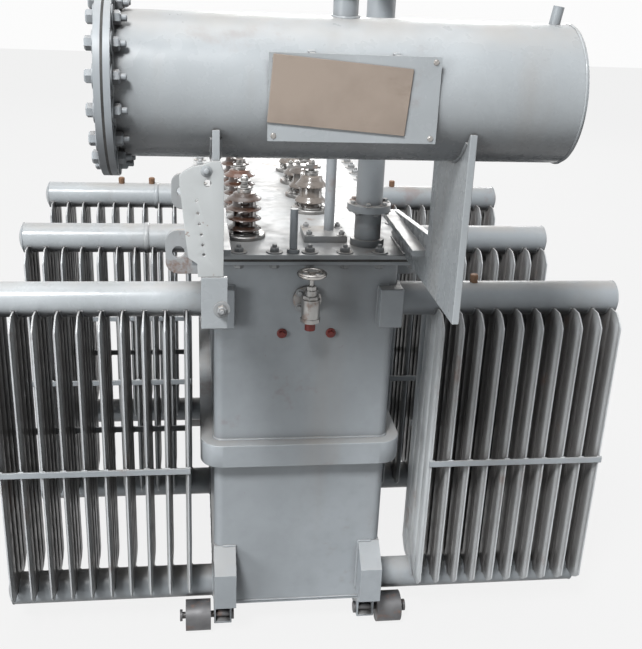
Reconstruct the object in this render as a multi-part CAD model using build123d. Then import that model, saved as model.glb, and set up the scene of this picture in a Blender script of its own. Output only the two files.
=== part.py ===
from build123d import *
import os

# Oil-filled distribution transformer, seen in its own frame: the floor is Z = 0,
# the narrow end with the conservator faces -Y, and X runs across that end.
# Everything is first placed about the middle of the tank, then moved together so
# that the origin is on the floor under the middle of the whole outline.

# How far a cutter runs past what it cuts
cut_past = 1

# Tank and cover
tank_width = 392
tank_length = 1100
tank_corner_r = 20
tank_wall = 5
tank_base_z = 80
tank_base_t = 8
rim_z = 950
rim_t = 8
rim_overhang = 44
gasket_t = 4
cover_t = 10

# Stiffener round the tank, corner pads and lugs
band_z = 472
band_height = 55
band_depth = 30
band_wall = 6
pad_z = 804
pad_height = 88
pad_width = 50
pad_wrap = 35
pad_depth = 30
pad_side = 8
jack_z = 114
jack_height = 90
jack_slope = 42
jack_width = 50
jack_depth = 60
lift_lug_inset = 250
lift_lug_reach = 107
lift_lug_height = 106
lift_lug_t = 12
lift_lug_z = 836
lift_lug_hole_r = 14
lift_lug_round = 30

# Skids and rollers
skid_width = 42
skid_height = 56
skid_wall = 4
roller_r = 37
roller_width = 60
roller_inset = 20
axle_r = 8
axle_clearance = 0.1
roller_gap = 8
axle_collar_r = 14
axle_collar_t = 6

# Radiators: three on each side, the outer two set in from the tank's ends
bank_inset = 80
header_r = 38
header_low_z = 94
header_drop = 116
header_end = 26
header_dome = 12
fin_count = 10
fin_pitch = 45
fin_width = 200
fin_t = 11
fin_seam_t = 3
fin_edge = 8
fin_flutes = 4
fin_ramp = 9
fin_corner = 26
fin_seat = 25
first_fin_left = 254
first_fin_right = 302
strap_z = 456
strap_height = 14
strap_t = 5

# Conservator across the front end
cons_r = 112
cons_wall = 4
cons_ahead = 320
cons_z = 1339
cons_left = -362
cons_right = 372
cons_dish = 12
cons_flange_r = 143
cons_flange_t = 10
cons_gasket_t = 4
cons_cover_t = 10
label_width = 261
label_height = 130
label_x = 6
label_t = 4
label_rib_x = 65
label_rib_t = 8
sign_width = 212
sign_height = 100
sign_t = 3
sign_x = -16
sign_drop = -5
sign_tilt = 4.5
filler_r = 20
filler_height = 34
filler_x = 4
filler_cap_r = 27
filler_cap_t = 16
breather_x = 345
breather_r = 9
breather_height = 46
breather_lean = 9

# Conservator supports
support_x = 195
support_t = 12
support_front = 105
support_horn = 52
support_rear = 107
support_foot_end = 95
support_foot_height = 62
support_flange = 26
support_low = 18
rim_gap = 1
cleat_width = 42
cleat_height = 88
cleat_t = 10

# Pipes and fittings on the cover; each one's "back" is its distance behind the tank's front
vent_r = 28
vent_x = 130
vent_back = 42
vent_top_z = 1512
vent_flange_r = 46
vent_flange_t = 14
vent_flange_z = 1047
vent_collar = 8
vent_hood_length = 90
vent_turn = 60
riser_r = 11
riser_x = 55
riser_back = 100
riser_bend = 45
riser_z = 1302
raised_x = 42
raised_back = 89
raised_width = 92
raised_length = 86
raised_t = 14
hv_x = -130
hv_back = 95
hv_pitch = 230
hv_count = 3
hv_r = 24
hv_shed_r = 37
hv_height = 85
hv_sheds = 4
lv_x = 40
lv_back = 320
lv_pitch = 150
lv_count = 4
lv_r = 26
lv_shed_r = 38
lv_height = 75
lv_sheds = 2
bushing_foot_r = 46
bushing_foot_t = 12
shed_start = 0.35
shed_share = 0.33
bushing_neck_share = 0.8
stem_r = 8
stem_height = 38
pocket_x = -35
pocket_inset = 19
pocket_r = 8
pocket_height = 92
pocket_collar_r = 13
pocket_collar_t = 8

# Top filter valve on the front of the tank
valve_z = 862
valve_reach = 70
valve_body_r = 19
valve_body_height = 50
valve_flange_r = 30
valve_flange_t = 10
valve_neck_r = 12
valve_stem_r = 5
valve_stem_gap = 0.1
wheel_z = 934
wheel_r = 31
wheel_rim_r = 5
wheel_hub_r = 9
wheel_hub_height = 13
wheel_spokes = 4
wheel_spoke_turn = 45
wheel_spoke_r = 3
plug_r = 11
plug_height = 18

# Places that follow from the sizes above
half_w = tank_width / 2
half_l = tank_length / 2
rim_w = tank_width + 2 * rim_overhang
rim_l = tank_length + 2 * rim_overhang
cover_z = rim_z + rim_t + gasket_t
cover_top = cover_z + cover_t
header_high_z = rim_z - header_drop
cons_y = -half_l - cons_ahead
bank_ys = [bank_inset - half_l, 0, half_l - bank_inset]
lift_lug_y = half_l - lift_lug_inset
vent_y = -half_l + vent_back
riser_y = -half_l + riser_back


def block(x0, x1, y0, y1, z0, z1):
    """A box from its six faces."""
    size = Box(x1 - x0, y1 - y0, z1 - z0, align=(Align.MIN, Align.MIN, Align.MIN))
    return Pos(x0, y0, z0) * size


def rod(r, length):
    """A cylinder that stands on the origin."""
    return Cylinder(r, length, align=(Align.CENTER, Align.CENTER, Align.MIN))


def rod_x(x0, x1, y, z, r):
    return Pos(x0, y, z) * Rot(0, 90, 0) * rod(r, x1 - x0)


def rod_y(x, y0, y1, z, r):
    return Pos(x, y0, z) * Rot(-90, 0, 0) * rod(r, y1 - y0)


def rod_z(x, y, z0, z1, r):
    return Pos(x, y, z0) * rod(r, z1 - z0)


def rounded(width, length, r, z0, height):
    """A block with rounded upright corners, centred on the tank."""
    return Pos(0, 0, z0) * extrude(RectangleRounded(width, length, r), height)


def four_corners(piece):
    """The piece and its copies at the other three corners of the tank."""
    across = piece.mirror(Plane.YZ)
    return [piece, across, piece.mirror(Plane.XZ), across.mirror(Plane.XZ)]


def tank_walls():
    z0 = tank_base_z + tank_base_t
    height = rim_z + rim_t - z0
    outer = rounded(tank_width, tank_length, tank_corner_r, z0, height)
    inner_r = tank_corner_r - tank_wall
    inner = rounded(tank_width - 2 * tank_wall, tank_length - 2 * tank_wall, inner_r, z0, height)
    return [outer - inner]


def tank_base():
    return [rounded(tank_width, tank_length, tank_corner_r, tank_base_z, tank_base_t)]


def tank_rim():
    plate = Pos(0, 0, rim_z) * extrude(Rectangle(rim_w, rim_l), rim_t)
    return [plate - rounded(tank_width, tank_length, tank_corner_r, rim_z, rim_t)]


def cover_gasket():
    z0 = rim_z + rim_t
    plate = Pos(0, 0, z0) * extrude(Rectangle(rim_w, rim_l), gasket_t)
    opening = Rectangle(tank_width - 2 * tank_wall, tank_length - 2 * tank_wall)
    return [plate - Pos(0, 0, z0) * extrude(opening, gasket_t)]


def cover():
    return [Pos(0, 0, cover_z) * extrude(Rectangle(rim_w, rim_l), cover_t)]


def stiffener_band():
    """A channel bent round the tank, its open side welded to the wall."""
    outer_w = tank_width + 2 * band_depth
    outer_l = tank_length + 2 * band_depth
    ring = rounded(outer_w, outer_l, tank_corner_r + band_depth, band_z, band_height)
    ring -= rounded(tank_width, tank_length, tank_corner_r, band_z, band_height)
    inside_w = outer_w - 2 * band_wall
    inside_l = outer_l - 2 * band_wall
    inside_r = tank_corner_r + band_depth - band_wall
    inside_h = band_height - 2 * band_wall
    ring -= rounded(inside_w, inside_l, inside_r, band_z + band_wall, inside_h)
    return [ring]


def upper_pads():
    """Blocks that wrap the tank's corners under the rim."""
    x1 = half_w + pad_side
    y0 = -half_l - pad_depth
    body = block(x1 - pad_width, x1, y0, -half_l + pad_wrap, pad_z, pad_z + pad_height)
    return four_corners(body - rounded(tank_width, tank_length, tank_corner_r, pad_z, pad_height))


def jacking_lugs():
    """Bracket lugs on the end faces: upright in front under a sloping top."""
    front = -half_l - jack_depth
    top = jack_z + jack_height
    outline = Polyline(
        (front, jack_z),
        (tank_corner_r - half_l, jack_z),
        (tank_corner_r - half_l, top + jack_slope),
        (-half_l, top + jack_slope),
        (front, top),
        close=True,
    )
    body = extrude(Plane.YZ.offset(half_w - jack_width) * make_face(outline), jack_width)
    body -= rounded(tank_width, tank_length, tank_corner_r, jack_z, jack_height + jack_slope)
    return four_corners(body)


def lifting_lugs():
    """Side plates with an eye for a sling, between the radiators."""
    with BuildPart() as lug:
        with BuildSketch(Plane.XZ.offset(lift_lug_y)):
            with Locations((half_w + lift_lug_reach / 2, lift_lug_z + lift_lug_height / 2)):
                Rectangle(lift_lug_reach, lift_lug_height)
        extrude(amount=lift_lug_t / 2, both=True)
        outer = lug.edges().filter_by(Axis.Y).sort_by(Axis.X)[-2:]
        fillet(outer, lift_lug_round)
    eye_x = half_w + lift_lug_reach - lift_lug_round
    eye_z = lift_lug_z + lift_lug_height / 2
    eye = rod_y(eye_x, -lift_lug_y - lift_lug_t, -lift_lug_y + lift_lug_t, eye_z, lift_lug_hole_r)
    return four_corners(lug.part - eye)


def skid_channels():
    """Two channels under the long sides, open towards the tank."""
    x1 = half_w
    x0 = x1 - skid_width
    z0 = tank_base_z - skid_height
    body = block(x0, x1, -half_l, half_l, z0, tank_base_z)
    body -= block(x0 + skid_wall, x1 - skid_wall, -half_l, half_l, z0 + skid_wall, tank_base_z)
    for y in (-half_l + roller_inset, half_l - roller_inset):
        body -= rod_x(x0 - cut_past, x1 + cut_past, y, roller_r, axle_r)
    return [body, body.mirror(Plane.YZ)]


def roller_axles():
    """Pins through both webs of a skid, with a collar at each end."""
    web_x = half_w
    inner_x = web_x - skid_width
    outer_x = web_x + 2 * roller_gap + roller_width
    y = -half_l + roller_inset
    pin = rod_x(inner_x - axle_collar_t, outer_x + axle_collar_t, y, roller_r, axle_r)
    pin += rod_x(inner_x - axle_collar_t, inner_x, y, roller_r, axle_collar_r)
    pin += rod_x(outer_x, outer_x + axle_collar_t, y, roller_r, axle_collar_r)
    return four_corners(pin)


def rollers():
    """One plain roller for each corner, in the order of four_corners."""
    x0 = half_w + roller_gap
    y = -half_l + roller_inset
    body = rod_x(x0, x0 + roller_width, y, roller_r, roller_r)
    body -= rod_x(x0, x0 + roller_width, y, roller_r, axle_r + axle_clearance)
    return four_corners(body)


def fin_outline():
    """Half the plan of a pressed fin: flutes with seams between them."""
    seam = fin_seam_t / 2
    crest = fin_t / 2
    flute = (fin_width - 2 * fin_edge) / fin_flutes
    points = [(seam, -fin_width / 2)]
    for i in range(fin_flutes):
        y = -fin_width / 2 + fin_edge + i * flute
        points += [(seam, y), (crest, y + fin_ramp), (crest, y + flute - fin_ramp)]
    points += [(seam, fin_width / 2 - fin_edge), (seam, fin_width / 2)]
    return points


def fin():
    """One fin at the middle of the bank, seated on both headers."""
    half = fin_outline()
    other = [(-x, y) for x, y in reversed(half)]
    z0 = header_low_z + header_r - fin_seat
    z1 = header_high_z - header_r + fin_seat
    body = Pos(0, 0, z0) * extrude(make_face(Polyline(*half, *other, close=True)), z1 - z0)
    side = chamfer(Rectangle(fin_width, z1 - z0).vertices(), fin_corner)
    frame = Plane.YZ.offset(-fin_t)
    body &= Pos(0, 0, (z0 + z1) / 2) * extrude(frame * side, 2 * fin_t)
    for z in (header_low_z, header_high_z):
        body -= rod_x(-fin_t, fin_t, 0, z, header_r)
    return body


def side_of(side):
    """The sign of X and the first fin's place for one side of the tank."""
    if side == "left":
        return -1, first_fin_left
    return 1, first_fin_right


def radiator_fins(side, y):
    sign, first = side_of(side)
    one = fin()
    return [Pos(sign * (first + i * fin_pitch), y, 0) * one for i in range(fin_count)]


def header(side, y, z):
    """A pipe from the tank wall past the last fin, with a domed end."""
    sign, first = side_of(side)
    end = first + (fin_count - 1) * fin_pitch + header_end
    dome_r = (header_r**2 + header_dome**2) / (2 * header_dome)
    with BuildPart() as pipe:
        with BuildSketch(Plane.XY):
            with BuildLine():
                Polyline((end, 0), (half_w, 0), (half_w, header_r), (end - header_dome, header_r))
                RadiusArc((end - header_dome, header_r), (end, 0), dome_r)
            make_face()
        revolve(axis=Axis.X)
    solid = Pos(0, y, z) * pipe.part
    return solid if sign > 0 else solid.mirror(Plane.YZ)


def straps(side):
    """Flat bars that tie the fins' front and back edges."""
    sign, first = side_of(side)
    x0 = first - fin_t / 2
    x1 = first + (fin_count - 1) * fin_pitch + fin_t / 2
    bars = []
    for y in bank_ys:
        for face in (-1, 1):
            near = y + face * fin_width / 2
            far = near + face * strap_t
            bar = block(x0, x1, min(near, far), max(near, far), strap_z, strap_z + strap_height)
            bars.append(bar if sign > 0 else bar.mirror(Plane.YZ))
    return bars


def conservator_shell():
    outer = rod_x(cons_left, cons_right, cons_y, cons_z, cons_r)
    inner = rod_x(cons_left, cons_right, cons_y, cons_z, cons_r - cons_wall)
    return [outer - inner]


def conservator_welded_end():
    """A shallow dished head on the right."""
    crown = (cons_r**2 + cons_dish**2) / (2 * cons_dish)
    with BuildPart() as head:
        with BuildSketch(Plane.XY):
            with BuildLine():
                Line((cons_wall, 0), (cons_dish + cons_wall, 0))
                RadiusArc((cons_dish + cons_wall, 0), (cons_wall, cons_r), -crown)
                Line((cons_wall, cons_r), (0, cons_r))
                Line((0, cons_r), (0, cons_r - cons_wall))
                Line((0, cons_r - cons_wall), (cons_wall, 0))
            make_face()
        revolve(axis=Axis.X)
    return [Pos(cons_right, cons_y, cons_z) * head.part]


def conservator_flange():
    x0 = cons_left
    ring = rod_x(x0, x0 + cons_flange_t, cons_y, cons_z, cons_flange_r)
    return [ring - rod_x(x0, x0 + cons_flange_t, cons_y, cons_z, cons_r)]


def conservator_gasket():
    x1 = cons_left
    ring = rod_x(x1 - cons_gasket_t, x1, cons_y, cons_z, cons_flange_r)
    return [ring - rod_x(x1 - cons_gasket_t, x1, cons_y, cons_z, cons_r - cons_wall)]


def conservator_cover():
    x1 = cons_left - cons_gasket_t
    return [rod_x(x1 - cons_cover_t, x1, cons_y, cons_z, cons_flange_r)]


def conservator_bulk():
    """The conservator as a plain cylinder, for pieces that sit on it."""
    return rod_x(cons_left, cons_right, cons_y, cons_z, cons_r)


def label_plate():
    """A flat backing plate on two ribs welded to the conservator."""
    face_y = cons_y - cons_r - label_t
    x0 = label_x - label_width / 2
    z0 = cons_z - label_height / 2
    plate = block(x0, x0 + label_width, face_y, face_y + label_t, z0, z0 + label_height)
    for x in (label_x - label_rib_x, label_x + label_rib_x):
        rib = block(x - label_rib_t / 2, x + label_rib_t / 2, face_y, cons_y, z0, z0 + label_height)
        plate += rib - conservator_bulk()
    return [plate]


def sign_plate():
    """A bare plate, hung a little askew on the backing plate."""
    y0 = cons_y - cons_r - label_t - sign_t
    body = Box(sign_width, sign_t, sign_height, align=(Align.CENTER, Align.MIN, Align.CENTER))
    return [Pos(sign_x, y0, cons_z - sign_drop) * Rot(0, sign_tilt, 0) * body]


def filler_neck():
    z1 = cons_z + cons_r + filler_height
    neck = rod_z(filler_x, cons_y, cons_z, z1, filler_r) - conservator_bulk()
    return [neck + rod_z(filler_x, cons_y, z1, z1 + filler_cap_t, filler_cap_r)]


def breather_stub():
    place = Pos(breather_x, cons_y, cons_z + cons_r - 2 * breather_r) * Rot(0, breather_lean, 0)
    return [place * rod(breather_r, breather_height) - conservator_bulk()]


def support_web(x0, x1):
    """A cantilevered web: it stands on the cover and cradles the conservator."""
    front = cons_y - support_front
    rear = cons_y + support_rear
    foot_end = -half_l + support_foot_end
    rim_front = -half_l - rim_overhang - rim_gap
    horn_z = cons_z - support_horn
    foot_z = cover_top + support_foot_height
    low_z = rim_z + support_low
    outline = Polyline(
        (front, low_z),
        (rim_front, low_z),
        (rim_front, cover_top),
        (foot_end, cover_top),
        (foot_end, foot_z),
        (rear, foot_z + support_foot_height / 2),
        (rear, horn_z),
        (front, horn_z),
        close=True,
    )
    web = extrude(Plane.YZ.offset(x0) * make_face(outline), x1 - x0)
    web -= rod_x(x0 - cut_past, x1 + cut_past, cons_y, cons_z, cons_r)
    flange_x = x0 - support_flange
    flange = block(flange_x, x0, rear, foot_end, foot_z - support_t, foot_z)
    return web + flange


def support_right():
    return [support_web(support_x, support_x + support_t)]


def support_left():
    """The left web also carries a flat cleat on its front edge."""
    web = support_web(support_x, support_x + support_t).mirror(Plane.YZ)
    front = cons_y - support_front
    x1 = -support_x + support_t
    z0 = rim_z + support_low
    cleat = block(x1 - cleat_width, x1, front - cleat_t, front, z0, z0 + cleat_height)
    return [web + cleat]


def vent_pipe():
    """A wide riser with a flanged joint, its top bent forward to a closed mouth."""
    pipe = rod_z(vent_x, vent_y, cover_top, vent_top_z, vent_r)
    pipe += rod_z(vent_x, vent_y, vent_flange_z, vent_flange_z + vent_flange_t, vent_flange_r)
    pipe += rod_z(vent_x, vent_y, cover_top, cover_top + vent_flange_t, vent_r + vent_collar)
    pipe += Pos(vent_x, vent_y, vent_top_z) * Sphere(vent_r)
    mouth = Pos(vent_x, vent_y, vent_top_z) * Rot(vent_turn, 0, 0)
    pipe += mouth * rod(vent_r, vent_hood_length)
    pipe += mouth * Pos(0, 0, vent_hood_length - vent_flange_t) * rod(vent_flange_r, vent_flange_t)
    return [pipe]


def oil_pipe():
    """From the raised plate up behind the conservator and into its back."""
    z0 = cover_top + raised_t
    path = FilletPolyline(
        (riser_x, riser_y, z0),
        (riser_x, riser_y, riser_z),
        (riser_x, cons_y, riser_z),
        radius=riser_bend,
    )
    pipe = sweep(Plane((riser_x, riser_y, z0)) * Circle(riser_r), path)
    return [pipe - conservator_bulk()]


def raised_plate():
    x0 = raised_x - raised_width / 2
    y0 = -half_l + raised_back - raised_length / 2
    return [block(x0, x0 + raised_width, y0, y0 + raised_length, cover_top, cover_top + raised_t)]


def bushing(x, y, r, shed_r, height, sheds):
    """A turned insulator with sheds on a round foot and a terminal stem above."""
    step = height / sheds
    points = [(0, 0), (bushing_foot_r, 0), (bushing_foot_r, bushing_foot_t), (r, bushing_foot_t)]
    for i in range(sheds):
        z = bushing_foot_t + (i + shed_start) * step
        points += [(r, z), (shed_r, z), (r, z + shed_share * step)]
    top = bushing_foot_t + height
    points += [(r * bushing_neck_share, top), (stem_r, top)]
    points += [(stem_r, top + stem_height), (0, top + stem_height)]
    profile = make_face(Plane.XZ * Polyline(*points, close=True))
    return Pos(x, y, cover_top) * revolve(profile, Axis.Z)


def hv_bushings():
    ys = [-half_l + hv_back + i * hv_pitch for i in range(hv_count)]
    return [bushing(hv_x, y, hv_r, hv_shed_r, hv_height, hv_sheds) for y in ys]


def lv_bushings():
    ys = [-half_l + lv_back + i * lv_pitch for i in range(lv_count)]
    return [bushing(lv_x, y, lv_r, lv_shed_r, lv_height, lv_sheds) for y in ys]


def thermometer_pocket():
    y = -half_l - rim_overhang + pocket_inset
    pocket = rod_z(pocket_x, y, cover_top, cover_top + pocket_height, pocket_r)
    return [pocket + rod_z(pocket_x, y, cover_top, cover_top + pocket_collar_t, pocket_collar_r)]


def valve_body():
    """A flanged neck, an upright body and its spindle."""
    y = -half_l - valve_reach
    flange = rod_y(0, -half_l - valve_flange_t, -half_l, valve_z, valve_flange_r)
    neck = rod_y(0, y, -half_l - valve_flange_t, valve_z, valve_neck_r)
    z0 = valve_z - valve_body_height / 2
    body = rod_z(0, y, z0, z0 + valve_body_height, valve_body_r)
    spindle = rod_z(0, y, valve_z, wheel_z + wheel_hub_height, valve_stem_r)
    collar = rod_z(0, y, valve_z, z0 + valve_body_height + valve_body_r, valve_neck_r)
    return [flange + neck + body + collar + spindle]


def valve_plug():
    z1 = valve_z - valve_body_height / 2
    plug = rod_z(0, -half_l - valve_reach, z1 - plug_height, z1, plug_r)
    return [plug]


def valve_handwheel():
    """A spoked wheel that turns on the spindle."""
    y = -half_l - valve_reach
    mid = wheel_z + wheel_hub_height / 2
    wheel = Pos(0, y, mid) * Torus(wheel_r - wheel_rim_r, wheel_rim_r)
    wheel += rod_z(0, y, wheel_z, wheel_z + wheel_hub_height, wheel_hub_r)
    for i in range(wheel_spokes):
        turn = Pos(0, y, mid) * Rot(0, 0, wheel_spoke_turn + 360 * i / wheel_spokes)
        wheel += turn * rod_x(valve_stem_r + valve_stem_gap, wheel_r - wheel_rim_r, 0, 0, wheel_spoke_r)
    z0 = wheel_z - cut_past
    z1 = wheel_z + wheel_hub_height + cut_past
    bore = rod_z(0, y, z0, z1, valve_stem_r + valve_stem_gap)
    return [wheel - bore]


def all_nodes():
    nodes = {
        "tank_walls": tank_walls(),
        "tank_base": tank_base(),
        "tank_rim": tank_rim(),
        "cover_gasket": cover_gasket(),
        "tank_cover": cover(),
        "stiffener_band": stiffener_band(),
        "upper_corner_pads": upper_pads(),
        "jacking_lugs": jacking_lugs(),
        "lifting_lugs": lifting_lugs(),
        "skid_channels": skid_channels(),
        "roller_axles": roller_axles(),
        "left_straps": straps("left"),
        "right_straps": straps("right"),
        "conservator_shell": conservator_shell(),
        "conservator_welded_end": conservator_welded_end(),
        "conservator_flange": conservator_flange(),
        "conservator_gasket": conservator_gasket(),
        "conservator_cover": conservator_cover(),
        "label_plate": label_plate(),
        "sign_plate": sign_plate(),
        "filler_neck": filler_neck(),
        "breather_stub": breather_stub(),
        "support_left": support_left(),
        "support_right": support_right(),
        "vent_pipe": vent_pipe(),
        "oil_pipe": oil_pipe(),
        "raised_plate": raised_plate(),
        "hv_bushings": hv_bushings(),
        "lv_bushings": lv_bushings(),
        "thermometer_pocket": thermometer_pocket(),
        "valve_body": valve_body(),
        "valve_plug": valve_plug(),
        "valve_handwheel": valve_handwheel(),
    }
    corners = ("front_right", "front_left", "rear_right", "rear_left")
    for corner, roller in zip(corners, rollers()):
        nodes["roller_" + corner] = [roller]
    for side in ("left", "right"):
        nodes[side + "_top_headers"] = [header(side, y, header_high_z) for y in bank_ys]
        nodes[side + "_bottom_headers"] = [header(side, y, header_low_z) for y in bank_ys]
        for place, y in zip(("front", "middle", "rear"), bank_ys):
            nodes[f"fins_{side}_{place}"] = radiator_fins(side, y)
    return nodes


def to_origin():
    """The move from the tank's middle to the middle of the whole outline."""
    last = (fin_count - 1) * fin_pitch + header_end
    x_mid = ((first_fin_right + last) - (first_fin_left + last)) / 2
    front = cons_y - cons_flange_r
    rear = half_l + max(rim_overhang, jack_depth)
    return Pos(-x_mid, -(front + rear) / 2, 0)


if __name__ == "__main__":
    os.makedirs("parts", exist_ok=True)
    move = to_origin()
    for name, solids in all_nodes().items():
        placed = [move * s for s in solids]
        whole = placed[0] if len(placed) == 1 else Compound(children=placed)
        whole.label = name
        export_step(whole, f"parts/{name}.step")
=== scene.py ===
import math
import random

import bmesh
import bpy
from mathutils import Matrix, Vector


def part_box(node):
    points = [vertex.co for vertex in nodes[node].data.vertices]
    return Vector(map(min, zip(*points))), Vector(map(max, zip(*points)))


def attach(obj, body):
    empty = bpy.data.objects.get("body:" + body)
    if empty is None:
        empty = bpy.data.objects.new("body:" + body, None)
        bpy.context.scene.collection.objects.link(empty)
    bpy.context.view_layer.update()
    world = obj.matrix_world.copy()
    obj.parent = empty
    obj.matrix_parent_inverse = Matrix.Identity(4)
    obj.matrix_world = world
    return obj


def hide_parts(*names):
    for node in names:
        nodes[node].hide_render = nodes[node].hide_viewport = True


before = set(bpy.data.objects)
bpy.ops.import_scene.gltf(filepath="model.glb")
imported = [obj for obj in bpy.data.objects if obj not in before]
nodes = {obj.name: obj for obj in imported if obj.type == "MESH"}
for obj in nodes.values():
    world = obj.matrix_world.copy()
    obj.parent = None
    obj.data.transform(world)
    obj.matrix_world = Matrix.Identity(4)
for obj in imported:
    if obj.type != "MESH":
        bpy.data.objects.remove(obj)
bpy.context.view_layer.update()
ROOT = "transformer"
MM = 0.001

# Sizes are in metres, except the values for at() and flat_plate(), which are in mm
tank_lo, tank_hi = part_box("tank_walls")
mid_x = (tank_lo.x + tank_hi.x) / 2
mid_y = (tank_lo.y + tank_hi.y) / 2

UP, DOWN = (0, 0, 1), (0, 0, -1)
RIGHT, LEFT, FRONT = (1, 0, 0), (-1, 0, 0), (0, -1, 0)


def at(x_mm, y_mm, z_mm):
    """A point from its distances to the tank's middle and the floor."""
    return Vector((mid_x + x_mm * MM, mid_y + y_mm * MM, z_mm * MM))


# Mesh helpers


def new_object(name, bm, material, smooth_deg=35):
    """A finished mesh piece from a bmesh, riding on the transformer's body."""
    bmesh.ops.recalc_face_normals(bm, faces=bm.faces)
    mesh = bpy.data.meshes.new(name)
    bm.to_mesh(mesh)
    bm.free()
    for polygon in mesh.polygons:
        polygon.use_smooth = True
    mesh.set_sharp_from_angle(angle=math.radians(smooth_deg))
    mesh.materials.append(material)
    obj = bpy.data.objects.new(name, mesh)
    bpy.context.scene.collection.objects.link(obj)
    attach(obj, ROOT)
    return obj


def lathe(bm, profile, place, steps=32):
    """Turns a profile of (radius, height) points round the local Z of a placement."""
    rings = []
    for radius, height in profile:
        if radius < 1e-7:
            rings.append([bm.verts.new(place @ Vector((0, 0, height)))])
            continue
        ring = []
        for i in range(steps):
            a = 2 * math.pi * i / steps
            spot = Vector((radius * math.cos(a), radius * math.sin(a), height))
            ring.append(bm.verts.new(place @ spot))
        rings.append(ring)
    for low, high in zip(rings, rings[1:]):
        for i in range(steps):
            j = (i + 1) % steps
            if len(low) == 1 and len(high) == 1:
                continue
            if len(low) == 1:
                bm.faces.new((low[0], high[i], high[j]))
            elif len(high) == 1:
                bm.faces.new((low[i], low[j], high[0]))
            else:
                bm.faces.new((low[i], low[j], high[j], high[i]))


def aim(point, direction, turn=0.0):
    """A placement whose local Z points along a direction."""
    quat = Vector(direction).to_track_quat("Z", "Y")
    return Matrix.Translation(point) @ quat.to_matrix().to_4x4() @ Matrix.Rotation(turn, 4, "Z")


def tube(bm, points, radius, steps, closed, wobble, rng):
    """A round bead along a row of points; wobble roughens it like a weld."""
    count = len(points)
    rings = []
    for k, point in enumerate(points):
        before = points[k - 1] if k > 0 or closed else point
        after = points[(k + 1) % count] if k < count - 1 or closed else point
        along = (after - before).normalized()
        if rings:
            last_side = rings[-1][1]
            side = last_side - along * last_side.dot(along)
        else:
            side = along.orthogonal().normalized()
        side.normalize()
        up = along.cross(side)
        r = radius * (1 + rng.uniform(-wobble, wobble))
        ring = []
        for i in range(steps):
            a = 2 * math.pi * i / steps
            ring.append(bm.verts.new(point + r * (math.cos(a) * side + math.sin(a) * up)))
        rings.append((ring, side))
    spans = list(zip(rings, rings[1:]))
    if closed:
        spans.append((rings[-1], rings[0]))
    for (low, _), (high, _) in spans:
        for i in range(steps):
            j = (i + 1) % steps
            bm.faces.new((low[i], low[j], high[j], high[i]))
    if not closed:
        bm.faces.new(rings[0][0])
        bm.faces.new(rings[-1][0])


def bolt(bm, point, direction, across, head, shank=0.0, washer=True, turn=0.0):
    """A hexagon head or nut with a washer under it and a thread end above it."""
    place = aim(point, direction, turn)
    base = 0.0
    if washer:
        base = 0.12 * across
        rw = 0.98 * across
        disc = [(0, 0), (rw, 0), (rw, base * 0.7), (rw - base * 0.3, base), (0, base)]
        lathe(bm, disc, place, 20)
    corner = across / 2 / math.cos(math.pi / 6)
    top = base + head
    edge = 0.12 * across
    profile = [(0, base), (corner, base), (corner, top - edge), (corner - edge, top), (0, top)]
    lathe(bm, profile, place, 6)
    if shank > 0:
        rs = 0.28 * across
        end = top + shank
        thread = [(0, top), (rs, top), (rs, end - 0.25 * rs), (rs * 0.75, end), (0, end)]
        lathe(bm, thread, place, 12)


def weld_run(bm, points, radius, rng, pitch=0.006, closed=False):
    """A bead of weld metal along straight runs between the given points."""
    path = []
    ends = points[1:] + ([points[0]] if closed else [])
    for a, b in zip(points, ends):
        n = max(1, round((b - a).length / pitch))
        path += [a.lerp(b, i / n) for i in range(n)]
    if not closed:
        path.append(points[-1])
    tube(bm, path, radius, 6, closed, 0.18, rng)


# Materials


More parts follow.
